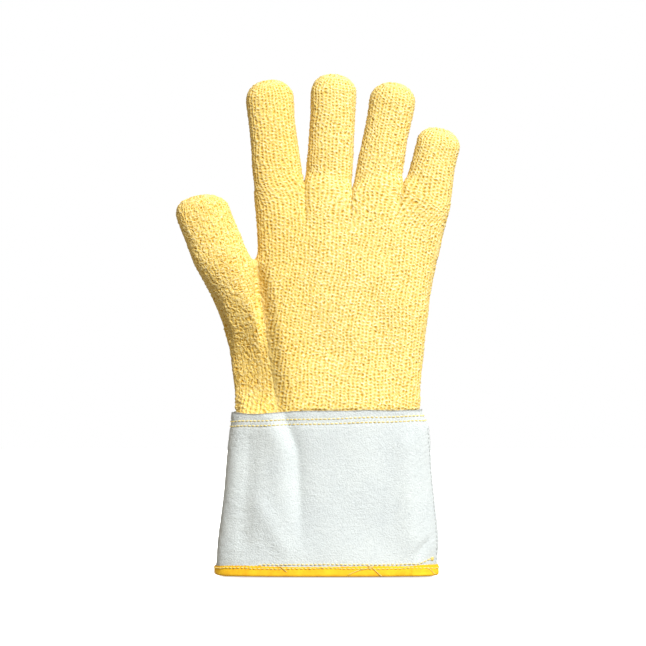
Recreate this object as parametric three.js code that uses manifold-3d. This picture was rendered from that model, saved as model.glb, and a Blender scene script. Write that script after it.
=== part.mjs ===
// A heat-resistant gauntlet glove for the left hand, standing fingers up with its palm towards -Y.
// Looped-pile knit for the hand, a wrapped split-leather cuff, and a bias tape round the cuff's mouth.
// Millimetres, +Z up. The origin is the middle of the cuff's mouth, where the hand goes in.
import * as THREE from "three";
import { mergeVertices } from "three/addons/utils/BufferGeometryUtils.js";
import Module from "manifold-3d";

const wasm = await Module();
wasm.setup();

// Materials' thicknesses, and the room left between touching pieces
const KNIT = 4.5;
const LEATHER = 1.6;
const TAPE = 0.9;
const THREAD_RADIUS = 0.4;
const GAP = 0.3;

// Cuff: half sizes of its mouth and of its upper end, and where the knit starts
const CUFF_HEIGHT = 116;
const MOUTH = { halfWidth: 76.2, halfDepth: 24 };
const CUFF_TOP = { halfWidth: 65.9, halfDepth: 20 };
const SQUARENESS = 2.3; // superellipse exponent of every flattened tube's section
const TAPE_HEIGHT = 7;
const SEAM_HEIGHTS = { seam_stitch_upper: 109.5, seam_stitch_lower: 106.5 };
const HEM_BOTTOM = 98;
const HEM_THICKNESS = 3.6;

// The cuff's panel starts under itself at LAP_START, goes round the back, and ends over its start at LAP_END.
const LAP_START = -35;
const LAP_END = 342;
const LAP_RAMP = 20;

// Hand: the wrist's soft zone, and the palm's outline from the wrist to the finger roots
const WRIST = { bottom: 118, top: 150 };
const PALM_ROWS = [
  { z: 96, left: -61, right: 66, halfDepth: 18.5 },
  { z: 150, left: -60, right: 67.5, halfDepth: 18.5 },
  { z: 185, left: -54, right: 71.5, halfDepth: 18.5 },
  { z: 220, left: -48.6, right: 76.7, halfDepth: 18 },
  { z: 254, left: -49.5, right: 84.4, halfDepth: 16 },
  { z: 276, left: -50.5, right: 88, halfDepth: 13.5 },
];
const PALM_TOP = { z: 267, slope: -0.09 }; // its height at x = 0, and how it falls towards the little finger

// Digits: where each leaves the palm, its lean from upright, its section, its length,
// and how far along it the two places lie where it bends
const DIGITS = [
  { name: "index", x: -33.4, y: 0, z: 277, lean: -6.5, halfWidth: 17, halfDepth: 12.6, length: 71.5, knuckle: 10, middle: 38 },
  { name: "middle", x: 1.1, y: 0, z: 275, lean: 3.5, halfWidth: 16.3, halfDepth: 12.4, length: 77.5, knuckle: 10, middle: 41 },
  { name: "ring", x: 33.9, y: 0, z: 268, lean: 10.4, halfWidth: 15.9, halfDepth: 12, length: 79, knuckle: 10, middle: 41 },
  { name: "little", x: 68.7, y: 0, z: 262, lean: 12.7, halfWidth: 15.85, halfDepth: 11.6, length: 54, knuckle: 8, middle: 29 },
  { name: "thumb", x: -69.8, y: -5, z: 213, lean: -22.2, halfWidth: 19.1, halfDepth: 14, length: 58, knuckle: 8, middle: 32 },
];
const FINGER_ROOT = 24; // how far a finger's tube reaches down into the palm
const THUMB_FOOT = { x: -48, y: -3, z: 94 }; // where the ball of the thumb ends inside the cuff
const THUMB_TAPER = 0.18; // how much narrower the ball of the thumb is at its foot
const DOME = { height: 0.82, power: 2.5 }; // a fingertip's length in half widths, and how blunt it is

const AROUND = 20;
const CUFF_AROUND = 60;
const THREAD_SIDES = 5;

const material = (color, roughness) => new THREE.MeshStandardMaterial({ color, roughness, metalness: 0 });
const knit = material(0xf0d070, 0.95);
const splitLeather = material(0xe4e9ea, 0.9);
const tape = material(0xf5b520, 0.75);
const thread = material(0xf1dc7a, 0.6);

const glove = new THREE.Group();

// --- Solids -------------------------------------------------------------------------------------

function solidOf(geometry) {
  const bare = geometry.clone();
  bare.deleteAttribute("normal");
  bare.deleteAttribute("uv");
  const merged = mergeVertices(bare, 1e-4);
  return new wasm.Manifold(
    new wasm.Mesh({
      numProp: 3,
      vertProperties: merged.attributes.position.array,
      triVerts: new Uint32Array(merged.index.array),
    }),
  );
}

function addNode(name, solid, look) {
  const made = solid.getMesh();
  const geometry = new THREE.BufferGeometry();
  geometry.setAttribute("position", new THREE.BufferAttribute(made.vertProperties, 3));
  geometry.setIndex(new THREE.BufferAttribute(made.triVerts, 1));
  geometry.computeVertexNormals();
  const mesh = new THREE.Mesh(geometry, look);
  mesh.name = name;
  glove.add(mesh);
}

// Moves each vertex of a geometry to place(x, y, z).
function warp(geometry, place) {
  const position = geometry.attributes.position;
  for (let i = 0; i < position.count; i++) {
    const moved = place(position.getX(i), position.getY(i), position.getZ(i));
    position.setXYZ(i, moved.x, moved.y, moved.z);
  }
  return geometry;
}

function slab(bottom, top) {
  const size = 1000;
  const box = new THREE.BoxGeometry(size, size, top - bottom);
  return solidOf(box.translate(0, 0, (bottom + top) / 2));
}

// --- Digits -------------------------------------------------------------------------------------

// The line that a digit's tube follows: straight from its root to its tip, and for the thumb
// a curve below the root that comes down upright inside the cuff.
function axisOf(digit) {
  const lean = THREE.MathUtils.degToRad(digit.lean);
  const along = new THREE.Vector3(Math.sin(lean), 0, Math.cos(lean));
  const root = new THREE.Vector3(digit.x, digit.y, digit.z);
  if (digit.name !== "thumb") {
    return (s) => ({ point: root.clone().addScaledVector(along, s), lean });
  }
  const foot = new THREE.Vector3(THUMB_FOOT.x, THUMB_FOOT.y, THUMB_FOOT.z);
  const corner = root.clone().addScaledVector(along, (foot.x - root.x) / along.x);
  const curve = new THREE.QuadraticBezierCurve3(foot, corner, root);
  const length = curve.getLength();
  return (s) => {
    if (s >= 0) return { point: root.clone().addScaledVector(along, s), lean };
    const share = Math.max(0, 1 + s / length);
    const tangent = curve.getTangentAt(share);
    return { point: curve.getPointAt(share), lean: Math.atan2(tangent.x, tangent.z) };
  };
}

// A digit's width at a place along it, as a share of its width above its root.
function taper(digit, s) {
  return digit.name === "thumb" ? 1 - THUMB_TAPER * THREE.MathUtils.smoothstep(-s, 0, 80) : 1;
}

// A digit's tube from one place along it to another, thinner all round by inset. A tip is domed.
function digitSolid(digit, from, to, inset = 0, tip = false, steps = 1) {
  const radius = digit.halfWidth - inset;
  const ratio = (digit.halfDepth - inset) / radius;
  const end = tip ? to - inset : to;
  const shoulder = tip ? end - DOME.height * radius : end;
  const profile = [new THREE.Vector2(0, from)];
  for (let i = 0; i <= steps; i++) {
    profile.push(new THREE.Vector2(radius, from + ((shoulder - from) * i) / steps));
  }
  const domeSteps = tip ? 5 : 0;
  for (let i = 1; i < domeSteps; i++) {
    const rise = Math.sin((Math.PI / 2) * (i / domeSteps));
    const share = (1 - rise ** DOME.power) ** (1 / DOME.power);
    profile.push(new THREE.Vector2(radius * share, shoulder + (end - shoulder) * rise));
  }
  profile.push(new THREE.Vector2(0, end));
  const axis = axisOf(digit);
  return solidOf(
    warp(new THREE.LatheGeometry(profile, AROUND), (x, s, z) => {
      const { point, lean } = axis(s);
      const across = x * taper(digit, s);
      return {
        x: point.x + across * Math.cos(lean),
        y: point.y - z * ratio,
        z: point.z - across * Math.sin(lean),
      };
    }),
  );
}

function rootDepth(digit) {
  return digit.name === "thumb" ? 135 : FINGER_ROOT;
}

function addDigit(digit) {
  const base = digitSolid(digit, digit.knuckle + GAP / 2, digit.middle - GAP / 2).subtract(
    digitSolid(digit, digit.knuckle - 1, digit.middle + 1, KNIT),
  );
  addNode(`${digit.name}_base_knit`, base, knit);
  const tip = digitSolid(digit, digit.middle + GAP / 2, digit.length, 0, true).subtract(
    digitSolid(digit, digit.middle - 1, digit.length, KNIT, true),
  );
  addNode(`${digit.name}_tip_knit`, tip, knit);
}

// --- Palm ---------------------------------------------------------------------------------------

function palmRow(z) {
  const above = Math.max(
    1,
    PALM_ROWS.findIndex((row) => row.z >= z),
  );
  const [low, high] = [PALM_ROWS[above - 1], PALM_ROWS[above]];
  const share = THREE.MathUtils.clamp((z - low.z) / (high.z - low.z), 0, 1);
  const mix = (key) => THREE.MathUtils.lerp(low[key], high[key], share);
  return { left: mix("left"), right: mix("right"), halfDepth: mix("halfDepth") };
}

// Puts a point of the unit circle on a unit superellipse.
function squared(value) {
  return Math.sign(value) * Math.abs(value) ** (2 / SQUARENESS);
}

function palmSolid(inset = 0) {
  const steps = 7;
  const bottom = PALM_ROWS[0].z;
  const column = new THREE.CylinderGeometry(1, 1, 1, 2 * AROUND, steps).rotateX(Math.PI / 2);
  return solidOf(
    warp(column, (x, y, height) => {
      const guess = palmRow(bottom + (height + 0.5) * (PALM_TOP.z - bottom));
      const reach = squared(x);
      const across = (guess.left + guess.right) / 2 + (reach * (guess.right - guess.left)) / 2;
      const top = PALM_TOP.z + PALM_TOP.slope * across - inset;
      const z = bottom + (height + 0.5) * (top - bottom);
      const row = palmRow(z);
      const halfWidth = (row.right - row.left) / 2 - inset;
      return {
        x: (row.left + row.right) / 2 + reach * halfWidth,
        y: squared(y) * (row.halfDepth - inset),
        z,
      };
    }),
  );
}

function handShell() {
  let outer = palmSolid();
  let inner = palmSolid(KNIT);
  for (const digit of DIGITS) {
    const steps = digit.name === "thumb" ? 6 : 1;
    const deep = rootDepth(digit);
    outer = outer.add(digitSolid(digit, -deep, digit.knuckle - GAP / 2, 0, false, steps));
    inner = inner.add(digitSolid(digit, -deep, digit.knuckle + 1, KNIT, false, steps));
  }
  return outer.subtract(inner);
}

function addHand() {
  const shell = handShell();
  addNode("palm_knit", shell.intersect(slab(WRIST.top + GAP, 400)), knit);
  addNode("wrist_knit", shell.intersect(slab(WRIST.bottom, WRIST.top)), knit);
}

// --- Cuff ---------------------------------------------------------------------------------------

// The leather's inner face at the mouth, moved outwards by offset.
function cuffPoint(degrees, offset) {
  const outline = (angle) =>
    new THREE.Vector2(squared(Math.cos(angle)) * MOUTH.halfWidth, squared(Math.sin(angle)) * MOUTH.halfDepth);
  const angle = THREE.MathUtils.degToRad(degrees);
  const step = 0.02;
  const tangent = outline(angle + step).sub(outline(angle - step)).normalize();
  return outline(angle).add(new THREE.Vector2(tangent.y, -tangent.x).multiplyScalar(offset));
}

// How far the cuff has drawn in at a height, as shares of the mouth's width and depth.
function flare(z) {
  const share = z / CUFF_HEIGHT;
  return {
    x: THREE.MathUtils.lerp(1, CUFF_TOP.halfWidth / MOUTH.halfWidth, share),
    y: THREE.MathUtils.lerp(1, CUFF_TOP.halfDepth / MOUTH.halfDepth, share),
  };
}

// How far the panel's end has climbed over its start: 0 away from the lap, 1 on it.
function climb(degrees) {
  return THREE.MathUtils.smoothstep(degrees, 360 + LAP_START - LAP_RAMP, 360 + LAP_START);
}

// The outer face of the leather, lap included, at any angle.
function outerOffset(degrees) {
  const turn = THREE.MathUtils.euclideanModulo(degrees, 360);
  const fall = THREE.MathUtils.smoothstep(turn, LAP_END, LAP_END + 8);
  return LEATHER + (LEATHER + GAP) * climb(turn) * (1 - fall);
}

function extrudeCuff(outline, bottom, top, steps) {
  const geometry = new THREE.ExtrudeGeometry(new THREE.Shape(outline), {
    depth: top - bottom,
    steps,
    bevelEnabled: false,
  });
  return solidOf(
    warp(geometry, (x, y, depth) => {
      const z = bottom + depth;
      return { x: x * flare(z).x, y: y * flare(z).y, z };
    }),
  );
}

function ringOutline(offset) {
  return Array.from({ length: CUFF_AROUND }, (_, i) => {
    const degrees = (360 * i) / CUFF_AROUND;
    return cuffPoint(degrees, typeof offset === "function" ? offset(degrees) : offset);
  });
}

function ring(outer, inner, bottom, top) {
  return extrudeCuff(ringOutline(outer), bottom, top, 1).subtract(
    extrudeCuff(ringOutline(inner), bottom - 1, top + 1, 1),
  );
}

function addCuffPanel() {
  const inside = [];
  const outside = [];
  for (let i = 0; i <= CUFF_AROUND; i++) {
    const degrees = LAP_START + ((LAP_END - LAP_START) * i) / CUFF_AROUND;
    const offset = (LEATHER + GAP) * climb(degrees);
    inside.push(cuffPoint(degrees, offset));
    outside.push(cuffPoint(degrees, offset + LEATHER));
  }
  const outline = [...outside, ...inside.reverse()];
  addNode("cuff_leather", extrudeCuff(outline, TAPE + GAP, CUFF_HEIGHT, 3), splitLeather);
}

function addTape() {
  const folded = ring((angle) => outerOffset(angle) + GAP + TAPE, -GAP - TAPE, 0, TAPE_HEIGHT);
  const slot = ring((angle) => outerOffset(angle) + GAP, -GAP, TAPE, TAPE_HEIGHT + 1);
  addNode("edge_tape", folded.subtract(slot), tape);
}

function addHem() {
  addNode("wrist_hem_knit", ring(-GAP, -GAP - HEM_THICKNESS, HEM_BOTTOM, WRIST.bottom - GAP), knit);
}

// A sewing thread lying round the cuff at a height, just clear of what it is sewn on.
function addThreadRing(name, height, clearance) {
  const torus = new THREE.TorusGeometry(1, THREAD_RADIUS, THREAD_SIDES, CUFF_AROUND);
  addNode(
    name,
    solidOf(
      warp(torus, (x, y, up) => {
        const degrees = THREE.MathUtils.radToDeg(Math.atan2(y, x));
        const out = Math.hypot(x, y) - 1;
        const point = cuffPoint(degrees, outerOffset(degrees) + clearance + THREAD_RADIUS + out);
        return { x: point.x * flare(height).x, y: point.y * flare(height).y, z: height + up };
      }),
    ),
    thread,
  );
}

function addSideSeamThread() {
  const place = (z) => {
    const point = cuffPoint(LAP_END - 4, 2 * LEATHER + GAP + GAP + 2 * THREAD_RADIUS);
    return new THREE.Vector3(point.x * flare(z).x, point.y * flare(z).y, z);
  };
  const line = new THREE.LineCurve3(place(TAPE_HEIGHT + 1), place(SEAM_HEIGHTS.seam_stitch_lower - 2));
  const section = new THREE.Shape().absarc(0, 0, THREAD_RADIUS, 0, 2 * Math.PI);
  const tube = new THREE.ExtrudeGeometry(section, { extrudePath: line, steps: 4, curveSegments: THREAD_SIDES });
  addNode("side_seam_stitch", solidOf(tube), thread);
}

for (const digit of DIGITS) addDigit(digit);
addHand();
addCuffPanel();
addTape();
addHem();
for (const [name, height] of Object.entries(SEAM_HEIGHTS)) addThreadRing(name, height, GAP);
addThreadRing("tape_stitch", TAPE_HEIGHT - 1.2, 2 * GAP + TAPE);
addSideSeamThread();

export default glove;
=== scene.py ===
"""Looks of a left-hand gauntlet glove: a knit hand of looped pile, a split-leather cuff and its edge tape.

Shapes are worked out in millimetres, in the CAD model's frame, and turned into metres as meshes are made.
"""

import math

import bpy
import numpy as np
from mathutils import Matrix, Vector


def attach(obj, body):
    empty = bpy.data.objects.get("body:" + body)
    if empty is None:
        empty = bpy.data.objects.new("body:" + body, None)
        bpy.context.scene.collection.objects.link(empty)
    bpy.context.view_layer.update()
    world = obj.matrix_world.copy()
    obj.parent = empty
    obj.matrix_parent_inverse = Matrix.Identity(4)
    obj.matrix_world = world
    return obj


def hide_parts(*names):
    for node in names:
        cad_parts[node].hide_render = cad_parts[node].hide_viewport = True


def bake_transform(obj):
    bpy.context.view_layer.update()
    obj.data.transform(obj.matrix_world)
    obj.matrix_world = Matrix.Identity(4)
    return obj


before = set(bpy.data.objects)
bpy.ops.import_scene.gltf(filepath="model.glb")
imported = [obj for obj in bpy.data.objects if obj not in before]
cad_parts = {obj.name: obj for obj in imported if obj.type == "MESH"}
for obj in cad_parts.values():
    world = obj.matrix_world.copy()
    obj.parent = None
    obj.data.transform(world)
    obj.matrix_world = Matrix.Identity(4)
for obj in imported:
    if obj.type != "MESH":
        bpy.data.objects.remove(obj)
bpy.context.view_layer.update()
random = np.random.default_rng(5)

MM = 0.001
BACK = np.array((0.0, 1.0, 0.0))

# Knit: the loops' spacing across and along the wales, how far a loop stands over the gap beside it,
# and the spacing of the grid that its surface is made on
WALE = 2.8
COURSE = 2.3
PILE = 0.9
CELL = 0.7

# Every flattened tube's section is a superellipse with this exponent. A digit's dome has its own.
SQUARENESS = 2.3
DOME_SQUARENESS = 2.15
DOME = 0.88  # a digit's dome in half widths

# Cuff, as in the CAD source, but for the lap's end, which lies 5 degrees farther round
CUFF_HEIGHT = 116.0
MOUTH = (76.2, 24.0)
CUFF_TOP = (65.9, 20.0)
LEATHER = 1.6
GAP = 0.3
LAP = (-35.0, 347.0)
LAP_RAMP = 20.0
TAPE = 0.9
TAPE_HEIGHT = 7.0
RIPPLES = 132  # round the tape, where its stitches pull it in


# --- Small helpers ------------------------------------------------------------------------------


def smoothstep(x, low, high):
    t = np.clip((np.asarray(x, float) - low) / (high - low), 0, 1)
    return t * t * (3 - 2 * t)


def smooth_min(a, b, reach):
    mix = np.maximum(reach - np.abs(a - b), 0) / reach
    return np.minimum(a, b) - mix * mix * reach / 4


def smooth_max(a, b, reach):
    return -smooth_min(-a, -b, reach)


def bell(x, centre, width):
    return np.exp(-(((x - centre) / width) ** 2))


def waves(seed, wavelength, count=9):
    """A smooth random field of about that wavelength, near -1 to 1, as a function of points."""
    made = np.random.default_rng(seed)
    directions = made.normal(size=(count, 3))
    directions /= np.linalg.norm(directions, axis=1)[:, None]
    rates = 2 * math.pi / (wavelength * made.uniform(0.75, 1.4, count))
    phases = made.uniform(0, 2 * math.pi, count)
    return lambda p: np.sin(p @ (directions * rates[:, None]).T + phases).sum(1) / math.sqrt(count)


def smooth_curve(points):
    """A soft curve through (place, value) points, as a function of the place."""
    places, values = np.array(points, float).T
    fine = np.arange(places[0] - 30, places[-1] + 30, 0.5)
    kernel = np.hanning(31)
    soft = np.convolve(np.interp(fine, places, values), kernel / kernel.sum(), "same")
    return lambda place: np.interp(place, fine[20:-20], soft[20:-20])


def make_mesh(name, points, faces, attributes=None):
    """A smooth-shaded object from points in millimetres."""
    faces = np.asarray(faces)
    mesh = bpy.data.meshes.new(name)
    mesh.vertices.add(len(points))
    mesh.vertices.foreach_set("co", (np.asarray(points) * MM).astype(np.float32).ravel())
    mesh.loops.add(faces.size)
    mesh.loops.foreach_set("vertex_index", faces.astype(np.int32).ravel())
    mesh.polygons.add(len(faces))
    mesh.polygons.foreach_set("loop_start", np.arange(0, faces.size, faces.shape[1], dtype=np.int32))
    mesh.polygons.foreach_set("use_smooth", np.ones(len(faces), bool))
    mesh.update(calc_edges=True)
    mesh.validate()
    for key, values in (attributes or {}).items():
        kind = "FLOAT_VECTOR" if values.ndim == 2 else "FLOAT"
        field = "vector" if values.ndim == 2 else "value"
        attribute = mesh.attributes.new(key, kind, "POINT")
        attribute.data.foreach_set(field, values.astype(np.float32).ravel())
    made = bpy.data.objects.new(name, mesh)
    bpy.context.scene.collection.objects.link(made)
    return made


def grid_faces(rows, columns, closed=False):
    """Quads of a grid of points stored row by row, its columns joined end to end if closed."""
    across = columns if closed else columns - 1
    row, column = np.meshgrid(np.arange(rows - 1), np.arange(across), indexing="ij")
    row, column = row.ravel(), column.ravel()
    beside = (column + 1) % columns
    corners = (row * columns + column, row * columns + beside)
    above = ((row + 1) * columns + beside, (row + 1) * columns + column)
    return np.stack([*corners, *above], 1)


# --- The hand's shape ---------------------------------------------------------------------------


def section_distance(across, through, half_width, half_depth, over=0.0, reach=1.0):
    """Distance to a flattened tube, about right near it. over is how far a point is into the dome that
    ends the tube, and reach is that dome's length."""
    x, y = np.abs(across) / half_width, np.abs(through) / half_depth
    n, m = SQUARENESS, DOME_SQUARENESS
    flat = np.maximum((x**n + y**n) ** (1 / n), 1e-3)
    rise = over / reach
    whole = np.maximum((flat**m + rise**m) ** (1 / m), 1e-3)
    slope_x = (x / flat) ** (n - 1) / half_width
    slope_y = (y / flat) ** (n - 1) / half_depth
    share = (flat / whole) ** (m - 1)
    slope_s = (rise / whole) ** (m - 1) / reach
    return (whole - 1) / np.sqrt(share**2 * (slope_x**2 + slope_y**2) + slope_s**2)


class Digit:
    """A finger or the thumb: a flattened tube from its root in the hand to its domed tip. knuckle and middle
    are where along it it bends, and cut is where its two pieces meet."""

    tip_lean = 0.0

    def __init__(self, name, root, lean, half, length, knuckle, middle, cut, swell=0.4):
        angle = math.radians(lean)
        self.name = name
        self.root = np.array(root, float)
        self.along = np.array((math.sin(angle), 0, math.cos(angle)))
        self.side = np.array((math.cos(angle), 0, -math.sin(angle)))
        self.half_width, self.half_depth = half
        self.length = length
        self.knuckle = knuckle
        self.middle = middle
        self.cut = cut
        self.swell = swell
        self.shoulder = length - DOME * self.half_width

    def place(self, s):
        return self.root + s * self.along

    def local(self, p):
        """How far along, across and through the digit each point is."""
        q = p - self.root
        return q @ self.along, q @ self.side, q @ BACK

    def widths(self, s):
        grown = 1 + self.swell / self.half_width * (1 - smoothstep(s, -5, 32))
        return self.half_width * grown, self.half_depth * np.ones_like(s)

    def distance(self, p):
        s, a, b = self.local(p)
        half_width, half_depth = self.widths(s)
        over = np.maximum(0, s - self.shoulder)
        reach = self.length - self.shoulder
        lopsided = self.tip_lean * (over / reach) ** 2
        return section_distance(a + lopsided, b, half_width, half_depth, over, reach)


class Thumb(Digit):
    """The thumb's tube goes on below its root, as the ball of the thumb, in a curve that ends in the cuff."""

    FOOT = np.array((-48.0, -3.0, 94.0))
    RUN = 122.0  # about the curve's length
    tip_lean = 5.0

    def curve(self, t):
        corner = self.root + self.along * (self.FOOT[0] - self.root[0]) / self.along[0]
        t = t[:, None]
        point = (1 - t) ** 2 * self.FOOT + 2 * t * (1 - t) * corner + t**2 * self.root
        return point, 2 * (1 - t) * (corner - self.FOOT) + 2 * t * (self.root - corner)

    def local(self, p):
        s, a, b = super().local(p)
        low = s < 0
        q = p[low]
        t = np.clip((q[:, 2] - self.FOOT[2]) / (self.root[2] - self.FOOT[2]), -0.2, 1)
        for _ in range(4):
            point, tangent = self.curve(t)
            t = np.clip(t + ((q - point) * tangent).sum(1) / (tangent**2).sum(1), -0.2, 1)
        point, tangent = self.curve(t)
        tangent /= np.linalg.norm(tangent, axis=1)[:, None]
        side = tangent[:, [2, 1, 0]] * (1, 0, -1)
        s[low] = (t - 1) * self.RUN
        a[low] = ((q - point) * side).sum(1)
        b[low] = (q - point) @ BACK
        return s, a, b

    def widths(self, s):
        low = smoothstep(-s, -10, 60)
        return self.half_width - 3.4 * low, self.half_depth + 1.5 * low


FINGERS = [
    Digit("index", (-33.4, 0, 277), -6.5, (17, 12.6), 71.5, 10, 38, 20),
    Digit("middle", (1.1, 0, 275), 3.5, (16.3, 12.4), 77.5, 10, 41, 20),
    Digit("ring", (34.2, 0, 268), 10.4, (16.2, 12), 79, 10, 41, 20),
    Digit("little", (68.9, 0, 262), 12.7, (15.8, 11.6), 54, 8, 29, 17, swell=1.4),
]
THUMB = Thumb("thumb", (-69.8, -5, 213), -22.2, (19.1, 14), 58.8, 8, 32, 20)
DIGITS = [*FINGERS, THUMB]

# The palm's two sides, its half depth and the valley beside the ball of the thumb, against height
palm_left = smooth_curve(
    [(96, -64.6), (117, -64.6), (128, -61.5), (150, -60), (185, -54), (220, -48), (250, -48.8), (276, -50)]
)
palm_right = smooth_curve(
    [
        *[(96, 64.3), (114, 64.6), (120, 66.8), (130, 66.0), (145, 67.2)],
        *[(170, 69.4), (199, 71.8), (224, 75.7), (262, 84), (276, 88)],
    ]
)
palm_depth = smooth_curve(
    [(96, 19.3), (116, 19.3), (124, 19.3), (150, 18.5), (215, 18), (254, 16), (276, 13.5)]
)
valley_line = smooth_curve([(96, -31.5), (118, -34), (151, -39), (193, -44.5), (214, -47.5), (230, -52)])

# The height of the palm's top, against x
palm_top = smooth_curve(
    [(-60, 268), (-24, 279), (-8, 279), (19, 272), (45, 279), (61, 277), (75, 262), (90, 260)]
)
PALM_MIDDLE = 18.0  # the x that the palm's wales fan out from


def palm_distance(p):
    z = p[:, 2]
    left, right = palm_left(z), palm_right(z)
    around = section_distance(p[:, 0] - (left + right) / 2, p[:, 1], (right - left) / 2, palm_depth(z))
    return smooth_max(around, z - palm_top(p[:, 0]), 8)


slow_waves = waves(11, 46)
quick_waves = waves(12, 19)


def cuff_inside(p):
    """Distance to the inner face of the cuff's leather, a little smaller, which goes on above its edge as a
    funnel."""
    share = p[:, 2] / CUFF_HEIGHT
    width, depth = (MOUTH[i] + share * (CUFF_TOP[i] - MOUTH[i]) - 0.6 for i in (0, 1))
    open_above = np.maximum(0, p[:, 2] - CUFF_HEIGHT - 0.5)
    return section_distance(p[:, 0], p[:, 1], width, depth) - 2 * open_above


# The slanting front of the ball of the thumb, against height: its y at the valley, and its steepness
slant_start = smooth_curve(
    [(108, -17), (118, -13.5), (130, -10), (150, -9), (168, -10.5), (182, -13), (196, -17), (206, -24)]
)
slant_tilt = smooth_curve(
    [(108, 0.2), (118, 0.38), (130, 0.58), (152, 0.6), (168, 0.45), (182, 0.3), (196, 0.15)]
)
SWING = 0.32  # how steeply the ball of the thumb is swung back from the palm's plane


def swung_back(p):
    """Points moved to where they would be if the ball of the thumb weren't swung back."""
    past = valley_line(p[:, 2]) - p[:, 0]
    start = np.interp(p[:, 2], (155, 200), (0, 12))
    fade = (1 - smoothstep(p[:, 2], 172, 224)) * np.interp(p[:, 2], (112, 135), (0.3, 1))
    moved = p.copy()
    moved[:, 1] -= SWING * smooth_max(past - start, 0 * past, 4) * fade
    return moved


def thumb_side(p):
    """Distance to the slanting front of the ball of the thumb, which turns away to the side."""
    past = valley_line(p[:, 2]) - p[:, 0]
    start = slant_start(p[:, 2])
    tilt = slant_tilt(p[:, 2])
    return (start + tilt * past - p[:, 1]) / np.hypot(1, tilt) - 8.0 * smoothstep(-past, -2, 9)


def hand_distance(place):
    p = swung_back(place)
    z = p[:, 2]
    each = np.stack([finger.distance(p) for finger in FINGERS])
    fingers = each[0]
    for other in each[1:]:
        fingers = smooth_min(fingers, other, 2.2)
    first, second = np.sort(each, axis=0)[:2]
    between = 2.4 * bell(second - first, 0, 2.6) * smoothstep(z, 242, 264)
    hand = smooth_min(fingers, palm_distance(p), 6) + between
    thumb = THUMB.distance(p)
    whole = smooth_min(hand, thumb, np.interp(z, (120, 204, 218), (3, 3, 10)))
    whole = smooth_max(whole + ball_of_thumb(p), thumb_side(place), 2.5)
    whole = whole + 0.35 * slow_waves(p) + 0.22 * quick_waves(p)
    return smooth_max(whole, cuff_inside(place), 3)


def ball_of_thumb(p):
    """How far the front is set back in the valley beside the ball of the thumb, and on the ball itself."""
    z = p[:, 2]
    past = valley_line(z) - p[:, 0]
    front = smoothstep(-p[:, 1], -2, 6)
    root = 1 - smoothstep(z, 194, 226)
    deep = np.interp(z, (110, 118, 130, 165, 190, 215), (3.0, 5.5, 8.5, 8.5, 8.0, 6.0))
    right = np.maximum(1 - np.abs(past) / np.interp(z, (110, 165, 215), (13, 12, 9)), 0) ** 2
    share = np.interp(z, (155, 190, 215), (0.7, 0.6, 0.5))
    left = share + (1 - share) * np.exp(-np.abs(past) / 3)
    return front * deep * np.where(past > 0, left, right) * root


def surface_net(field, low, high, cell):
    """The zero surface of a field as points and quads, one point in each cell that it crosses.
    The field is first read four times coarser, and then only near the surface."""
    block = 4
    counts = np.ceil((np.array(high) - low) / (cell * block)).astype(int)
    axes = [low[i] + cell * (block * np.arange(counts[i]) + (block - 1) / 2) for i in range(3)]
    coarse = field(np.stack(np.meshgrid(*axes, indexing="ij"), -1).reshape(-1, 3)).reshape(counts)
    near = np.abs(coarse) < cell * block * 1.5
    grow = lambda values: values.repeat(block, 0).repeat(block, 1).repeat(block, 2)
    values, wanted = grow(coarse), grow(near)
    index = np.argwhere(wanted)
    values[wanted] = field(low + index * cell)
    inside = values < 0
    shape = np.array(values.shape) - 1
    total = np.zeros((shape.prod(), 3))
    hits = np.zeros(shape.prod(), int)
    quads = []
    for axis in range(3):
        ahead = np.eye(3, dtype=int)[axis]
        a, b = np.roll(ahead, 1), np.roll(ahead, 2)
        here = inside[tuple(slice(0, -1) if i == axis else slice(1, -1) for i in range(3))]
        there = inside[tuple(slice(1, None) if i == axis else slice(1, -1) for i in range(3))]
        corner = np.argwhere(here != there) + a + b
        first = values[tuple(corner.T)]
        second = values[tuple((corner + ahead).T)]
        point = corner + ahead * (first / (first - second))[:, None]
        around = [corner - a - b, corner - b, corner, corner - a]
        flat = [np.ravel_multi_index(tuple(c.T), tuple(shape)) for c in around]
        for cells in flat:
            np.add.at(total, cells, point)
            np.add.at(hits, cells, 1)
        outward = first < 0
        ring = np.stack(flat, 1)
        quads.append(np.where(outward[:, None], ring, ring[:, ::-1]))
    used = np.flatnonzero(hits)
    number = np.full(len(hits), -1)
    number[used] = np.arange(len(used))
    return low + cell * total[used] / hits[used][:, None], number[np.concatenate(quads)]


def slope(field, p, step=0.4):
    """The field's value and unit slope at points."""
    value = field(p)
    change = np.stack([field(p + step * axis) - value for axis in np.eye(3)], 1)
    return value, change / np.linalg.norm(change, axis=1)[:, None]


# --- Loops of the knit --------------------------------------------------------------------------

# Half widths and half depths that lengths round the palm and round the knuckles are worked out for
PALM_SECTION = (65.0, 18.0)
KNUCKLE_SECTION = (68.0, 18.0)

# Where the thumb's wales and a fingertip's crown are counted from, so that neither goes on from the palm's
THUMB_START = -120.0
CROWN_START = 300.0
CROWN = 0.6  # share of a fingertip's section that its crown covers
THUMB_TOP = 222.0  # height where the thumb has left the palm

def girth_table(half_width, half_depth):
    """Length round a flattened section from the middle of its flat side, against the angle used by girth."""
    angle = np.linspace(0, math.pi / 2, 200)
    x = half_width * np.sin(angle) ** (2 / SQUARENESS)
    y = half_depth * np.cos(angle) ** (2 / SQUARENESS)
    length = np.concatenate([[0], np.hypot(np.diff(x), np.diff(y)).cumsum()])
    return angle, length


def girth(across, through, half_width, half_depth, table):
    n = SQUARENESS / 2
    angle = np.arctan2((np.abs(across) / half_width) ** n, (np.abs(through) / half_depth) ** n)
    return np.sign(across) * np.interp(angle, *table)


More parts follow.
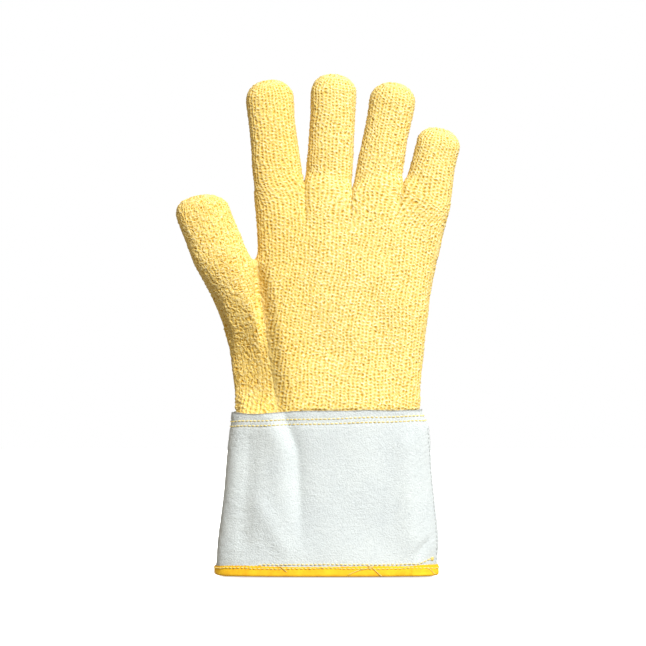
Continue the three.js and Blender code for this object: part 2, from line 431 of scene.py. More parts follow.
def section_front(across, half_width, half_depth):
    """Where the front of a flattened section is."""
    share = np.minimum(np.abs(across) / half_width, 1)
    return -half_depth * (1 - share**SQUARENESS) ** (1 / SQUARENESS)


def knit_chart(place):
    """Length across and along the knit's wales at each point, fanned over the palm and straight on the
    digits. Also 0 where two parts of the chart meet, rising to 1 away from there."""
    p = swung_back(place)
    z = p[:, 2]
    left, right = palm_left(z), palm_right(z)
    half = (right - left) / 2
    table = girth_table(*PALM_SECTION)
    offset = p[:, 0] - (left + right) / 2
    front = section_front(offset, half, palm_depth(z))
    through = p[:, 1] + smoothstep(-p[:, 1], 1, 5) * (front - p[:, 1])
    across = girth(offset, through, half, palm_depth(z), table)
    along = z.copy()
    nearest = np.argmin([np.abs(f.local(p)[1]) / f.half_width for f in FINGERS], axis=0)
    for number, finger in enumerate(FINGERS):
        mine = nearest == number
        s, a, b = finger.local(p[mine])
        half_width, half_depth = finger.widths(s)
        front_middle = np.array([-KNUCKLE_SECTION[1]])
        centre = girth(finger.root[:1] - PALM_MIDDLE, front_middle, *KNUCKLE_SECTION, table)[0]
        own_table = girth_table(finger.half_width, finger.half_depth)
        tube = centre + girth(a, b, half_width, half_depth, own_table)
        own = smoothstep(s, -18, 4)
        across[mine] += own * (tube - across[mine])
        along[mine] += own * (finger.root[2] + dome_run(finger, s, a, b) - along[mine])
    s, a, b = THUMB.local(p)
    nearer = np.minimum(palm_distance(p), FINGERS[0].distance(p)) - THUMB.distance(p)
    past = valley_line(z) - p[:, 0]
    mine = np.where(p[:, 1] < 0, past, nearer) > 0
    mine &= (z < THUMB_TOP) | (nearer > 0)
    seam = np.where((p[:, 1] < 0) & (z < THUMB_TOP), past, nearer)
    clear = smoothstep(np.abs(seam), 0.3, 2.5)
    half_width, half_depth = THUMB.widths(s[mine])
    table = girth_table(THUMB.half_width, THUMB.half_depth)
    slanting = 1 - smoothstep(np.abs(thumb_side(place[mine])), 1, 3)
    through = b[mine] + slanting * (section_front(a[mine], half_width, half_depth) - b[mine])
    tube = girth(a[mine], through, half_width, half_depth, table)
    flat = (a[mine] > 0) * (1 - smoothstep(s[mine], -25, 5))
    across[mine] = tube + flat * (a[mine] - tube) + THUMB_START
    along[mine] = dome_run(THUMB, s[mine], a[mine], b[mine])
    for digit in DIGITS:
        s, a, b = digit.local(p)
        off = np.hypot(a / digit.half_width, b / digit.half_depth)
        domed = s > digit.shoulder
        crown = domed & (off < CROWN)
        across[crown] = a[crown] + CROWN_START
        along[crown] = b[crown]
        rim = smoothstep(np.abs(off - CROWN), 0.01, 0.12)
        clear = np.where(domed, np.minimum(clear, rim), clear)
    return across, along, clear


def dome_run(digit, s, a, b):
    """Length along a digit, up to and over its dome."""
    x, y = np.abs(a / digit.half_width), np.abs(b / digit.half_depth)
    flat = (x**SQUARENESS + y**SQUARENESS) ** (1 / SQUARENESS)
    tall = digit.length - digit.shoulder
    over = np.maximum(0, s - digit.shoulder) / tall
    angle = np.arctan2(over, np.maximum(flat, 1e-3))
    return np.minimum(s, digit.shoulder) + angle * (tall + digit.half_width) / 2


def loop_counts(p):
    """Each point's place in the knit, counted in wales and in courses. Where both are whole, there is a gap
    between loops, and each wale's gaps are about half a step above the last one's. The loops lie less
    evenly on the thumb and its ball."""
    across, along, clear = knit_chart(p)
    tousled = 0.3 * smoothstep(valley_line(p[:, 2]) - p[:, 0], -4, 12)
    wale = across / WALE + 0.16 * waves(21, 5.5)(p) + 0.25 * waves(22, 30)(p) + tousled * waves(28, 3.4)(p)
    column = np.round(wale).astype(int)
    shift = 0.5 * column + np.random.default_rng(25).uniform(-0.27, 0.27, 97)[column % 97]
    course = along / COURSE + shift + 0.2 * waves(23, 5)(p) + 0.3 * waves(24, 35)(p)
    course = course + tousled * waves(29, 3.1)(p)
    return wale, course, clear, across, along


def gap_shape(wale, course):
    """1 in the gaps between loops, 0 on the loops."""
    return bell(wale - np.round(wale), 0, 0.25) * bell(course - np.round(course), 0, 0.3)


def loop_noise(wale, course, seed):
    """A random number from 0 to 1 for each gap, or for each loop where the counts are half a step on."""
    table = np.random.default_rng(seed).uniform(0, 1, (97, 89))
    return table[np.round(wale).astype(int) % 97, np.round(course).astype(int) % 89]


# --- Materials ----------------------------------------------------------------------------------


class Nodes:
    """A short way to write a node tree."""

    def __init__(self, name, roughness, sheen=0.0):
        self.material = bpy.data.materials.new(name)
        self.material.use_nodes = True
        self.tree = self.material.node_tree
        self.shader = self.tree.nodes["Principled BSDF"]
        self.shader.inputs["Roughness"].default_value = roughness
        self.shader.inputs["Sheen Weight"].default_value = sheen
        self.shader.inputs["Sheen Roughness"].default_value = 0.5
        self.shader.inputs["Specular IOR Level"].default_value = 0.25

    def add(self, kind, inputs=None, **settings):
        node = self.tree.nodes.new("ShaderNode" + kind)
        for key, value in settings.items():
            setattr(node, key, value)
        for key, value in (inputs or {}).items():
            self.set(node.inputs[key], value)
        return node

    def set(self, socket, value):
        if isinstance(value, bpy.types.NodeSocket):
            self.tree.links.new(value, socket)
        else:
            socket.default_value = value

    def math(self, operation, first, second=0.0, third=0.0):
        node = self.add("Math", {0: first, 1: second, 2: third}, operation=operation)
        return node.outputs[0]

    def attribute(self, name):
        return self.add("Attribute", attribute_name=name)

    def noise(self, scale, detail=2.0, roughness=0.5, vector=None):
        node = self.add("TexNoise", {"Scale": scale, "Detail": detail, "Roughness": roughness})
        self.set(node.inputs["Vector"], vector or self.position())
        return node.outputs["Fac"]

    def position(self):
        return self.add("TexCoord").outputs["Object"]

    def ramp(self, value, stops):
        node = self.add("ValToRGB", {"Fac": value})
        band = node.color_ramp
        while len(band.elements) < len(stops):
            band.elements.new(0.5)
        for element, (place, color) in zip(band.elements, stops):
            element.position = place
            element.color = (*color, 1)
        return node.outputs["Color"]

    def blend(self, share, first, second, kind="MIX"):
        node = self.add("Mix", {"Factor": share}, data_type="RGBA", blend_type=kind)
        self.set(node.inputs["A"], first if isinstance(first, bpy.types.NodeSocket) else (*first, 1))
        self.set(node.inputs["B"], second if isinstance(second, bpy.types.NodeSocket) else (*second, 1))
        return node.outputs["Result"]

    def bump(self, height, strength, distance, normal=None):
        node = self.add("Bump", {"Height": height, "Strength": strength, "Distance": distance * MM})
        if normal:
            self.set(node.inputs["Normal"], normal)
        return node.outputs["Normal"]

    def finish(self, color, normal):
        self.set(self.shader.inputs["Base Color"], color)
        self.set(self.shader.inputs["Normal"], normal)
        return self.material


def painted_golden_shade(nodes):
    """Painted shade: how far the knit is tinted more golden on its shaded thumb side, fully round the ball of
    the thumb, and less on the thumb and index finger and towards the middle of the palm."""
    place = nodes.add("SeparateXYZ", {0: nodes.position()})
    across = nodes.math("MULTIPLY_ADD", place.outputs[0], -0.022 / MM, 0.1)
    down = nodes.math("MULTIPLY_ADD", place.outputs[2], -0.0114 / MM, 2.88)
    return nodes.math("MINIMUM", across, nodes.math("MAXIMUM", down, 0.6))


def knit_material():
    """Cotton pile: pale loops, with painted shade darkening them to orange-brown down in the gaps between
    them, painted highlights on them and painted golden shade on the thumb side.
    """
    nodes = Nodes("looped_knit", 1.0)
    nodes.shader.inputs["Specular IOR Level"].default_value = 0.05
    counts = nodes.add("SeparateXYZ", {0: nodes.attribute("loops").outputs["Vector"]})
    fuzz = nodes.noise(1100, 3, 0.6)
    frayed = nodes.math("MULTIPLY_ADD", fuzz, 0.3, -0.15)
    far = []
    for count, width in ((counts.outputs[0], 0.25), (counts.outputs[1], 0.3)):
        count = nodes.math("ADD", count, frayed)
        off = nodes.math("DIVIDE", nodes.math("SUBTRACT", count, nodes.math("ROUND", count)), width)
        far.append(nodes.math("MULTIPLY", off, off))
    gap = nodes.math("EXPONENT", nodes.math("MULTIPLY", nodes.math("ADD", *far), -1.0))
    gap = nodes.math("MULTIPLY", gap, counts.outputs[2])
    # Painted shade: down in the gaps between loops the colour darkens to orange-brown, as shade would make
    # it.
    yarn_and_gap_shade = nodes.ramp(
        gap,
        [
            (0.0, (0.83, 0.67, 0.265)),
            (0.3, (0.76, 0.575, 0.16)),
            (0.7, (0.65, 0.39, 0.06)),
            (1.0, (0.49, 0.22, 0.02)),
        ],
    )
    lie = nodes.add("SeparateXYZ", {0: nodes.attribute("lie").outputs["Vector"]})
    down = nodes.math("SUBTRACT", lie.outputs[0], lie.outputs[1])
    over = nodes.math("ADD", lie.outputs[0], lie.outputs[1])
    lengthwise = nodes.math("MULTIPLY", down, 0.22)
    crosswise = nodes.math("MULTIPLY", over, 0.8)
    streaks = nodes.noise(1.0, 2, 0.5, nodes.add("CombineXYZ", {0: lengthwise, 1: crosswise}).outputs[0])
    strands = nodes.ramp(streaks, [(0.32, (0.84, 0.74, 0.54)), (0.52, (1.0, 1.0, 1.0))])
    patches = nodes.ramp(nodes.noise(45, 3), [(0.35, (0.95, 0.93, 0.90)), (0.65, (1.0, 1.0, 1.0))])
    color = nodes.blend(1.0, yarn_and_gap_shade, strands, "MULTIPLY")
    color = nodes.blend(1.0, color, patches, "MULTIPLY")
    # Painted highlight: pale near-white flecks where loops stand tall and along the bright strands, kept out
    # of the gaps.
    highlight_specks = nodes.math("MULTIPLY_ADD", lie.outputs[2], 0.25, nodes.noise(1000, 2, 0.7))
    highlight_specks = nodes.math("MULTIPLY_ADD", streaks, 0.5, highlight_specks)
    pale = nodes.ramp(nodes.math("SUBTRACT", highlight_specks, gap), [(0.76, (0.0, 0.0, 0.0)), (0.95, (0.9, 0.9, 0.9))])
    color = nodes.blend(pale, color, (0.88, 0.84, 0.58))
    # Painted shade: the shaded thumb side is tinted more golden, as light bounced within the pile would make
    # it.
    color = nodes.blend(painted_golden_shade(nodes), color, (1.0, 0.93, 0.75), "MULTIPLY")
    relief = nodes.math("SUBTRACT", nodes.math("MULTIPLY", fuzz, 0.5), gap)
    relief = nodes.math("MULTIPLY_ADD", streaks, 0.7, relief)
    return nodes.finish(color, nodes.bump(relief, 0.7, 0.5))


def suede_material():
    """Split leather: short nap with fine pits, in broad pale patches."""
    nodes = Nodes("split_leather", 0.88, sheen=0.2)
    nap = nodes.noise(950, 3, 0.7)
    grain = nodes.noise(260, 3, 0.6)
    patches = nodes.noise(30, 4, 0.55)
    tone = nodes.ramp(patches, [(0.35, (0.575, 0.63, 0.645)), (0.65, (0.615, 0.67, 0.675))])
    fine = nodes.ramp(nap, [(0.34, (0.86, 0.87, 0.88)), (0.56, (1.0, 1.0, 1.0))])
    color = nodes.blend(1.0, tone, fine, "MULTIPLY")
    height = nodes.math("MULTIPLY_ADD", grain, 0.5, nap)
    return nodes.finish(color, nodes.bump(height, 0.8, 1.1))


def tape_material():
    """Woven edge tape: fine ribs across it, with a little wear."""
    nodes = Nodes("edge_tape", 0.75)
    weave = nodes.attribute("weave").outputs["Vector"]
    parts = nodes.add("SeparateXYZ", {0: weave})
    ribs = nodes.math("SINE", nodes.math("MULTIPLY", parts.outputs[0], 2 * math.pi / 0.7))
    picks = nodes.math("SINE", nodes.math("MULTIPLY", parts.outputs[1], 2 * math.pi / 0.5))
    threads = nodes.math("MULTIPLY", ribs, picks)
    patches = nodes.noise(120, 4, 0.6)
    tone = nodes.ramp(patches, [(0.3, (0.86, 0.44, 0.008)), (0.7, (0.95, 0.60, 0.016))])
    fine = nodes.ramp(threads, [(0.0, (0.9, 0.86, 0.8)), (0.8, (1.0, 1.0, 1.0))])
    color = nodes.blend(1.0, tone, fine, "MULTIPLY")
    return nodes.finish(color, nodes.bump(threads, 0.3, 0.15))


def thread_material(name, low, high):
    """Twisted sewing thread, with the color low between its plies and high on them."""
    nodes = Nodes(name, 0.6)
    twist = nodes.attribute("twist").outputs["Fac"]
    ply = nodes.math("SINE", nodes.math("MULTIPLY", twist, 2 * math.pi))
    color = nodes.ramp(ply, [(0.0, low), (0.6, high)])
    return nodes.finish(color, nodes.bump(ply, 0.4, 0.15))


def floor_material():
    nodes = Nodes("floor", 0.9)
    nodes.shader.inputs["Base Color"].default_value = (0.92, 0.92, 0.92, 1)
    nodes.shader.inputs["Emission Color"].default_value = (1, 1, 1, 1)
    nodes.shader.inputs["Emission Strength"].default_value = 0.70
    return nodes.material


KNIT = knit_material()
SUEDE = suede_material()
WOVEN = tape_material()
THREAD = thread_material("sewing_thread", (0.74, 0.56, 0.14), (0.88, 0.75, 0.28))
PALE_THREAD = thread_material("pale_thread", (0.34, 0.36, 0.36), (0.56, 0.60, 0.60))


def dress(piece, material, slot, *stands_for):
    piece.data.materials.append(material)
    if stands_for:
        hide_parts(*stands_for)
    return piece


# --- Knit pieces --------------------------------------------------------------------------------

# Where the knit is cut: the heights of the hem's and the wrist's tops, and the x that the thumb lies beyond
HEM_TOP = 117.0
WRIST_TOP = 152.0
THUMB_CLEAR = -48.0

def knit_surface():
    """Points, quads and loop counts of the whole knit, with its loops raised."""
    points, quads = surface_net(hand_distance, np.array((-110.0, -23.0, 98.0)), (96, 23, 358), CELL)
    for _ in range(2):
        value, normal = slope(hand_distance, points)
        points = points - (value + 0.5)[:, None] * normal
    wale, course, clear, across, along = loop_counts(points)
    frayed = smoothstep(-points[:, 0] - 0.5 * points[:, 2], -40, -5) * smoothstep(142 - points[:, 2], 0, 22)
    depth = (0.45 + 0.55 * loop_noise(wale, course, 32)) * clear * (1 - 0.5 * frayed)
    tall = loop_noise(wale, course + 0.5, 31)
    loop = bell(wale - np.round(wale), 0, 0.35) * bell(course + 0.5 - np.round(course + 0.5), 0, 0.3) * clear
    pile = 0.2 + 0.7 * (tall - 0.35) * loop - PILE * depth * gap_shape(wale, course)
    pile += 0.27 * waves(26, 3.2)(points) * (1 - 0.5 * clear) + 0.4 * frayed * waves(27, 2.3)(points)
    points = points + (pile + random.normal(0, 0.07, len(points)))[:, None] * normal
    # The loops' third value, the gaps' depth, also sets how strong the painted shade in the gaps is.
    fields = {"loops": np.stack([wale, course, depth], 1), "lie": np.stack([across, along, tall * loop], 1)}
    return points, quads, fields


def cut_out(name, points, quads, fields, keep):
    """One piece of the knit, of the quads that it keeps."""
    chosen = quads[keep]
    used = np.unique(chosen)
    number = np.zeros(len(points), int)
    number[used] = np.arange(len(used))
    kept_fields = {key: values[used] for key, values in fields.items()}
    return make_mesh(name, points[used], number[chosen], kept_fields)


def metres(point):
    return tuple(np.asarray(point) * MM)


def add_knit():
    """The knit in 13 pieces. A quad's owner is a digit's base (1 + 2 * its number), its tip (2 + 2 * its
    number), the hem (-1), or the wrist and palm (0)."""
    points, quads, fields = knit_surface()
    middle = points[quads].mean(1)
    owner = np.zeros(len(quads), int)
    reach = [digit.local(middle) for digit in DIGITS]
    widths = [np.abs(a) / digit.half_width for digit, (s, a, b) in zip(DIGITS, reach)]
    nearest = np.argmin([np.where(s > -25, w, 99) for w, (s, a, b) in zip(widths, reach)], axis=0)
    for number, digit in enumerate(DIGITS):
        s = reach[number][0]
        mine = (nearest == number) & (widths[number] < 1.25) & (s > -1.5)
        if digit is THUMB:
            mine &= middle[:, 0] < THUMB_CLEAR
        owner[mine] = 1 + 2 * number
        owner[mine & (s > digit.cut)] = 2 + 2 * number
    owner[(owner == 0) & (middle[:, 2] < HEM_TOP)] = -1
    hem = cut_out("knit_hem", points, quads, fields, owner == -1)
    dress(hem, KNIT, "looped_knit", "wrist_hem_knit")
    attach(hem, "cuff")
    wrist = cut_out("knit_wrist", points, quads, fields, (owner == 0) & (middle[:, 2] < WRIST_TOP))
    dress(wrist, KNIT, "looped_knit", "wrist_knit")
    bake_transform(wrist)
    palm = cut_out("knit_palm", points, quads, fields, (owner == 0) & (middle[:, 2] >= WRIST_TOP))
    dress(palm, KNIT, "looped_knit", "palm_knit")
    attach(palm, "hand")
    for number, digit in enumerate(DIGITS):
        base = cut_out(f"knit_{digit.name}_base", points, quads, fields, owner == 1 + 2 * number)
        dress(base, KNIT, "looped_knit", f"{digit.name}_base_knit")
        metres(digit.place(-1))
        metres(digit.place(min(2 * digit.knuckle + 1, digit.cut - 0.8)))
        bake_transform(base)
        tip = cut_out(f"knit_{digit.name}_tip", points, quads, fields, owner == 2 + 2 * number)
        dress(tip, KNIT, "looped_knit", f"{digit.name}_tip_knit")
        metres(digit.place(digit.cut + 0.8))
        metres(digit.place(2 * digit.middle - digit.cut - 0.8))
        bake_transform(tip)


# --- Cuff ---------------------------------------------------------------------------------------


def squared(value):
    return np.sign(value) * np.abs(value) ** (2 / SQUARENESS)


def mouth_outline(angle):
    return np.stack([squared(np.cos(angle)) * MOUTH[0], squared(np.sin(angle)) * MOUTH[1]], -1)


def cuff_frame(degrees, z):
    """Points on the leather's inner face, and the directions out of it."""
    angle = np.radians(degrees)
    tangent = mouth_outline(angle + 0.02) - mouth_outline(angle - 0.02)
    tangent /= np.linalg.norm(tangent, axis=-1, keepdims=True)
    share = np.asarray(z) / CUFF_HEIGHT
    squeeze = 1 + share[..., None] * (np.array(CUFF_TOP) / MOUTH - 1)
    flat = mouth_outline(angle) * squeeze
    out = tangent[..., ::-1] * (1, -1)
    point = np.concatenate([flat, np.asarray(z)[..., None]], -1)
    return point, np.concatenate([out, np.zeros_like(out[..., :1])], -1)


def lap_climb(degrees):
    """How far the panel's end has climbed over its start."""
    return smoothstep(degrees, 360 + LAP[0] - LAP_RAMP, 360 + LAP[0])


def outer_offset(degrees):
    turn = np.mod(degrees, 360)
    return LEATHER + (LEATHER + GAP) * lap_climb(turn) * (1 - smoothstep(turn, LAP[1], LAP[1] + 6))


def cuff_relief(point):
    """Soft folds of the cuff, in millimetres outwards."""
    x, y, z = point[..., 0], point[..., 1], point[..., 2]
    front = smoothstep(-y, 4, 14)
    low = smoothstep(z, 0, 28)
    line = -18.5 - 0.05 * (z - 60) - 8 * smoothstep(z, 85, 116)
    right = np.maximum(x - line, 0)
    left = np.maximum(line - x, 0)
    valley = -3.8 * np.exp(-right / 7 - (left / 6) ** 2) * smoothstep(z, 8, 75)
    ridge = 1.2 * bell(x, line - 13, 8) * smoothstep(z, 8, 60)
    dent = -2.0 * bell(x, -56 + 0.05 * (z - 60), 7) * smoothstep(z, 8, 30) * (1 - smoothstep(z, 85, 112))
    low_ridge = 1.3 * bell(x, -38 - 0.45 * (z - 35), 7) * smoothstep(z, 6, 22)
    ridge = ridge + low_ridge * (1 - smoothstep(z, 42, 62))
    crease = -1.6 * bell(x - 0.62 * (z - 19), 64, 2.6) * bell(z, 19, 11)
    broad = 0.55 * waves(41, 52)(point.reshape(-1, 3)).reshape(x.shape)
    reach = MOUTH[0] + (CUFF_TOP[0] - MOUTH[0]) * z / CUFF_HEIGHT
    fullness = smoothstep(z, 4, 28) * (1 - 1.2 * smoothstep(z, 103, 117))
    lap_side = 3.1 * smoothstep(x / reach, 0.84, 0.98) * fullness
    thumb_side = -0.9 * smoothstep(-x / reach, 0.9, 1) * smoothstep(z, 30, 90)
    blunt = 2.0 * bell(x / reach, 0.8, 0.17) * smoothstep(z, 4, 30) * (1 - smoothstep(z, 90, 112))
    folds = front * (valley + ridge + dent + crease + blunt) + broad * smoothstep(118 - z, 0, 30)
    return low * folds + lap_side + thumb_side


SEAM_ROWS = {"upper": 110.7, "lower": 107.3}


def seam_row(name, degrees):
    """The height of a joining row of stitches, higher on the little-finger side."""
    return SEAM_ROWS[name] + 2.1 * np.cos(np.radians(degrees)) + 0.15 * np.sin(np.radians(degrees) * 9)


def seam_pull(degrees, z):
    """How far the two joining rows of stitches pull the leather in."""
    return -0.55 * sum(bell(z, seam_row(name, degrees), 1.1) for name in SEAM_ROWS)


def mouth_lift(degrees):
    """How far the mouth's edge is lifted where it turns round the two sides."""
    outward = np.abs(squared(np.cos(np.radians(degrees))))
    share = np.clip((outward - 0.92) / 0.08, 0, 1)
    return 1.3 * (1 - np.sqrt(1 - 0.98 * share**2))


def top_edge(degrees):
    """The height of the leather's upper cut edge, which isn't quite straight."""
    turn = np.radians(degrees)
    dip = -1.3 * bell(np.mod(degrees, 360), 226, 14)
    uneven = 1.0 * np.cos(turn) + 0.3 * np.sin(3 * turn) + 0.15 * np.sin(11 * turn + 2)
    return CUFF_HEIGHT + 0.1 + dip + uneven


def add_leather():
    """The panel has an inner and an outer face, joined round its border."""
    columns, rows = 330, 78
    degrees = np.linspace(*LAP, columns)
    share = np.linspace(0, 1, rows)[:, None]
    bottom = TAPE + GAP + 0.5 + mouth_lift(degrees)
    z = bottom + share * (top_edge(degrees) - bottom)
    angle = np.broadcast_to(degrees, z.shape)
    point, out = cuff_frame(angle, z)
    offset = (LEATHER + GAP) * lap_climb(angle)
    relief = cuff_relief(point) + seam_pull(angle, z)
    edge_wear = 0.12 * waves(43, 3.5)(point.reshape(-1, 3)).reshape(z.shape)
    inner = point + (offset + relief)[..., None] * out
    outer = inner + (LEATHER + edge_wear)[..., None] * out
    inner_points, outer_points = inner.reshape(-1, 3), outer.reshape(-1, 3)
    count = rows * columns
    sheet = grid_faces(rows, columns)
    border = np.concatenate(
        [
            np.arange(columns),
            np.arange(2, rows + 1) * columns - 1,
            (rows - 1) * columns + np.arange(columns - 2, -1, -1),
            np.arange(rows - 2, -1, -1) * columns,
        ]
    )
    border = border[:-1] if border[-1] == border[0] else border
    following = np.roll(border, -1)
    rim = np.stack([border, border + count, following + count, following], 1)
    faces = np.concatenate([sheet[:, ::-1], sheet + count, rim])
    panel = make_mesh("suede_cuff", np.concatenate([inner_points, outer_points]), faces)
    dress(panel, SUEDE, "split_leather", "cuff_leather")
    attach(panel, "cuff")


def tape_profile(inside, outside):
    """Rows of the folded tape: offset, share of the height, and part (0 outside, 1 fold, 2 inside)."""
    half = (outside - inside) / 2
    rows = [(outside, height, 0) for height in np.linspace(1, 0.28, 6)]
    for turn in np.radians(np.linspace(10, 170, 9)):
        rows.append((outside - half + half * math.cos(turn), 0.22 * (1 - math.sin(turn)), 1))
    return rows + [(inside, height, 2) for height in np.linspace(0.28, 0.8, 4)]


def add_tape():
    columns = 780
    degrees = np.linspace(0, 360, columns, endpoint=False)
    thickness = TAPE + 0.05
    ripple = np.sin(np.radians(degrees) * RIPPLES)
    top = TAPE_HEIGHT + 0.9 + 0.16 * ripple + 0.3 * np.sin(np.radians(degrees) * 5 + 1)
    top = top + 1.2 * smoothstep(degrees, 312, 327) * (1 - smoothstep(degrees, 348, 359))
    inside, outside = -GAP - thickness, GAP + thickness
    profile = tape_profile(inside, outside)
    rows = []
    weave = []
    bottom = 0.5 + mouth_lift(degrees)
    overlap = 0.5 * smoothstep(degrees, 316, 318) * (1 - smoothstep(degrees, 328, 345))
    for number, (offset, height, part) in enumerate(profile):
        z = bottom + height * (top - bottom)
        point, out = cuff_frame(degrees, z)
        offset = offset + overlap * (part < 2) * (offset > 0)
        if part == 0:
            reach = outer_offset(degrees) + offset
        elif part == 1:
            lean = (offset - inside) / (outside - inside)
            reach = offset + lean * outer_offset(degrees)
        else:
            reach = np.full(columns, offset)
        pulled = -0.35 * (0.5 + 0.5 * ripple) * smoothstep(height, 0.4, 1.0) * (part == 0)
        relief = cuff_relief(point) + pulled
        rows.append(point + (reach + relief)[:, None] * out)
        weave.append(np.stack([degrees * 0.95, np.full(columns, 1.2 * number), z], -1))
    faces = grid_faces(len(profile), columns, True)[:, ::-1]
    tape = make_mesh("edge_tape_fold", np.concatenate(rows), faces, {"weave": np.concatenate(weave)})
    dress(tape, WOVEN, "edge_tape", "edge_tape")
    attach(tape, "cuff")


# --- Stitches -----------------------------------------------------------------------------------

PITCH = 3.0
STITCH = 2.35  # a stitch's usual length


def evenly(points, out, pitch):
    """Points that pitch apart along a line of points, with the line's direction and outward side."""
    steps = np.linalg.norm(np.diff(points, axis=0), axis=1)
    run = np.concatenate([[0], steps.cumsum()])
    places = np.arange(pitch / 2, run[-1], pitch)
    pick = lambda values: np.stack([np.interp(places, run, values[:, i]) for i in range(3)], 1)
    ahead = pick(np.gradient(points, axis=0))
    ahead /= np.linalg.norm(ahead, axis=1)[:, None]
    side = pick(out)
    return pick(points), ahead, side / np.linalg.norm(side, axis=1)[:, None]


def stitch_tubes(name, points, ahead, out, length=2.4, radius=0.42, rise=0.3, seed=3):
    """A row of stitches: each is a short arch of thread that goes down into the material at both ends."""
    made = np.random.default_rng(seed)
    sides, rings = 6, 7
    t = np.linspace(-1, 1, rings)
    turn = np.linspace(0, 2 * math.pi, sides, endpoint=False)
    count = len(points)
    length, radius = np.broadcast_to(length, count), np.broadcast_to(radius, count)
    reach = length / 2 * (1 + made.normal(0, 0.06, count))
    tilt = made.normal(0, 0.06, count)
    across = np.cross(ahead, out)
    direction = ahead + tilt[:, None] * across
    arch = rise * (1 - t**2) - 0.45 * t**6
    centre = points[:, None] + t[None, :, None] * (reach[:, None] * direction)[:, None]
    centre = centre + (length[:, None] / STITCH * arch)[:, :, None] * out[:, None]
    girth_share = radius[:, None] * (1 - 0.25 * t**4)
    outward = np.cos(turn)[:, None] * out[:, None, None]
    ring = outward + np.sin(turn)[:, None] * across[:, None, None]
    tube = centre[:, :, None] + girth_share[:, :, None, None] * ring
    faces = grid_faces(rings, sides, True)
    every = (faces[None] + (np.arange(count) * rings * sides)[:, None, None]).reshape(-1, 4)
    twist = t[:, None] * 2.2 + turn / (2 * math.pi)
    twist = np.broadcast_to(twist, (count, rings, sides))
    return make_mesh(name, tube.reshape(-1, 3), every, {"twist": twist.reshape(-1)})


def on_the_cuff(degrees, z, clearance):
    """A line on the outside of the cuff, that far off it, and the directions out of the cuff."""
    point, out = cuff_frame(degrees, z)
    offset = outer_offset(degrees) + cuff_relief(point) + seam_pull(degrees, z) + clearance
    return point + offset[:, None] * out, out


def wobble(degrees):
    """How far a sewn row strays up and down."""
    return 0.25 * np.sin(np.radians(degrees) * 7) + 0.15 * np.sin(np.radians(degrees) * 23)


def add_join_stitches():
    degrees = np.linspace(360, 0, 1400)
    for number, name in enumerate(SEAM_ROWS):
        line = on_the_cuff(degrees, seam_row(name, degrees), 0.18)
        row = stitch_tubes(f"join_stitches_{name}", *evenly(*line, PITCH), seed=50 + number)
        dress(row, THREAD, "sewing_thread", f"seam_stitch_{name}")
        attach(row, "cuff")


# Thread ends left lying across the tape: from and to, as degrees round the cuff and heights
LOOSE_ENDS = [
    ((279, 2.2), (292, 8.6)),
    ((289, 8.4), (296.5, 2.0)),
    ((330, 6.6), (341, 2.4)),
    ((247, 8.0), (252, 4.9)),
]


def add_tape_stitches():
    """One row all round on the tape, a second that has run off the tape on to the leather at the front and
    ends in a knot by the lap, and loose thread ends."""
    degrees = np.linspace(360, 0, 1400)
    on_tape = GAP + TAPE + 0.15
    around = evenly(*on_the_cuff(degrees, TAPE_HEIGHT - 0.5 + wobble(degrees), on_tape), PITCH)
    degrees = np.linspace(341, 229, 500)
    height = TAPE_HEIGHT + 0.7 + 1.5 * smoothstep(degrees, 229, 240) + 4.0 * smoothstep(degrees, 321, 341)
    beside = evenly(*on_the_cuff(degrees, height + 0.5 * wobble(degrees), 0.12), PITCH)
    loose = []
    for (start, low), (end, high) in LOOSE_ENDS:
        share = np.linspace(0, 1, 60)
        bend = 0.6 * np.sin(math.pi * share * 1.6)
        line = on_the_cuff(start + share * (end - start), low + share * (high - low) + bend, on_tape + 0.3)
        loose.append(evenly(*line, 0.8))
    centre, ahead, out = (values[:1] for values in beside)
    across = np.cross(ahead, out)
    turns = np.radians(np.arange(8) * 67)[:, None]
    knot = (
        centre + 0.5 * np.sin(turns) * ahead + 0.5 * np.cos(turns * 2) * across + 0.3 * out,
        np.cos(turns) * ahead + np.sin(turns) * across,
        np.repeat(out, len(turns), 0),
    )
    parts = [around, beside, knot, *loose]
    lengths = [np.full(len(part[0]), STITCH) for part in parts[:3]]
    lengths += [np.full(len(part[0]), 1.3) for part in loose]
    lengths = np.concatenate(lengths)
    radii = np.where(lengths > 2, 0.4, 0.25)
    line = (np.concatenate(values) for values in zip(*parts))
    row = stitch_tubes("tape_stitches", *line, length=lengths, radius=radii, seed=60)
    dress(row, THREAD, "sewing_thread", "tape_stitch")
    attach(row, "cuff")


def add_side_stitches():
    z = np.linspace(TAPE_HEIGHT + 2, min(SEAM_ROWS.values()) - 3, 200)
    line = on_the_cuff(np.full(200, LAP[1] - 2.0), z, 0.0)
    row = stitch_tubes("side_seam_stitches", *evenly(*line, PITCH), radius=0.3, rise=0.2, seed=70)
    dress(row, PALE_THREAD, "sewing_thread", "side_seam_stitch")
    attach(row, "cuff")


# --- Studio -------------------------------------------------------------------------------------


def add_floor():
    reach = 4000
    corners = [(x * reach, y * reach, -0.5) for x, y in ((-1, -1), (1, -1), (1, 1), (-1, 1))]
    floor = make_mesh("floor", corners, [(0, 1, 2, 3)])
    floor.data.materials.append(floor_material())
    floor.visible_diffuse = False


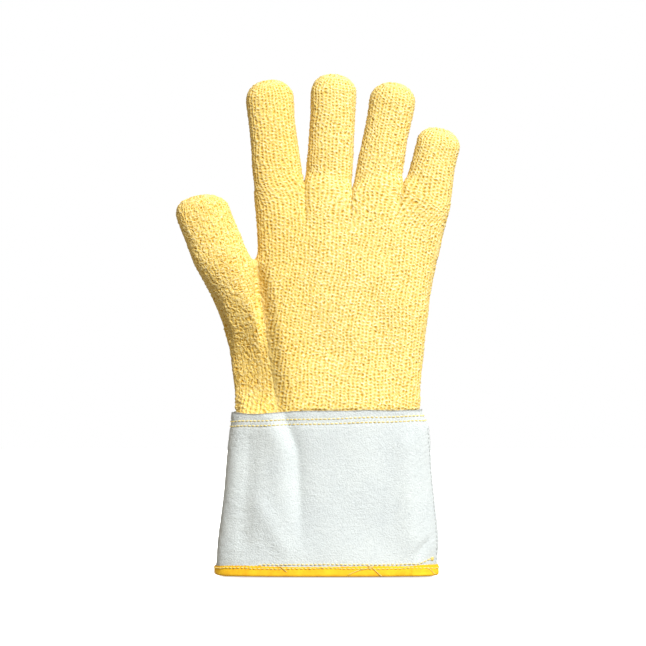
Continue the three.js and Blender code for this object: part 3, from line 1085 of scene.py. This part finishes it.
def add_light(name, azimuth, elevation, strength, softness):
    """A soft light from far away, to the right of the view by azimuth and up by elevation."""
    data = bpy.data.lights.new(name, "SUN")
    data.angle = math.radians(softness)
    data.energy = strength
    lamp = bpy.data.objects.new(name, data)
    bpy.context.scene.collection.objects.link(lamp)
    side, up = math.radians(azimuth), math.radians(elevation)
    place = (math.sin(side) * math.cos(up), -math.cos(side) * math.cos(up), math.sin(up))
    aim(lamp, place, (0, 0, 0))


def aim(item, place, target):
    place, target = np.array(place, float), np.array(target, float)
    item.location = place
    item.rotation_mode = "QUATERNION"
    item.rotation_quaternion = Vector(target - place).to_track_quat("-Z", "Y")


def add_camera():
    data = bpy.data.cameras.new("camera")
    data.sensor_width = 36
    distance, seen = 4.0, 0.4528  # seen is the width that the picture takes in at the glove
    data.lens = data.sensor_width * distance / seen
    data.clip_end = 50
    camera = bpy.data.objects.new("camera", data)
    bpy.context.scene.collection.objects.link(camera)
    bpy.context.scene.camera = camera
    x, z = -0.0025, 0.1775
    aim(camera, (x, -distance, z), (x, 0, z))


def add_studio():
    add_floor()
    add_light("key", 27, 34, 4.78, 22)
    add_light("fill", -25, 20, 0.12, 90)
    add_light("back", 168, 38, 2.7, 40)
    world = bpy.data.worlds.new("studio")
    world.use_nodes = True
    tree = world.node_tree
    sky = tree.nodes["Background"]
    sky.inputs["Color"].default_value = (1, 0.88, 0.725, 1)
    sky.inputs["Strength"].default_value = 0.41
    seen = tree.nodes.new("ShaderNodeBackground")
    seen.inputs["Color"].default_value = (1, 1, 1, 1)
    seen.inputs["Strength"].default_value = 1.0
    path = tree.nodes.new("ShaderNodeLightPath")
    mix = tree.nodes.new("ShaderNodeMixShader")
    tree.links.new(path.outputs["Is Camera Ray"], mix.inputs["Fac"])
    tree.links.new(sky.outputs["Background"], mix.inputs[1])
    tree.links.new(seen.outputs["Background"], mix.inputs[2])
    tree.links.new(mix.outputs["Shader"], tree.nodes["World Output"].inputs["Surface"])
    bpy.context.scene.world = world
    bpy.context.scene.view_settings.view_transform = "Standard"


add_knit()
add_leather()
add_tape()
add_join_stitches()
add_tape_stitches()
add_side_stitches()
add_camera()
add_studio()
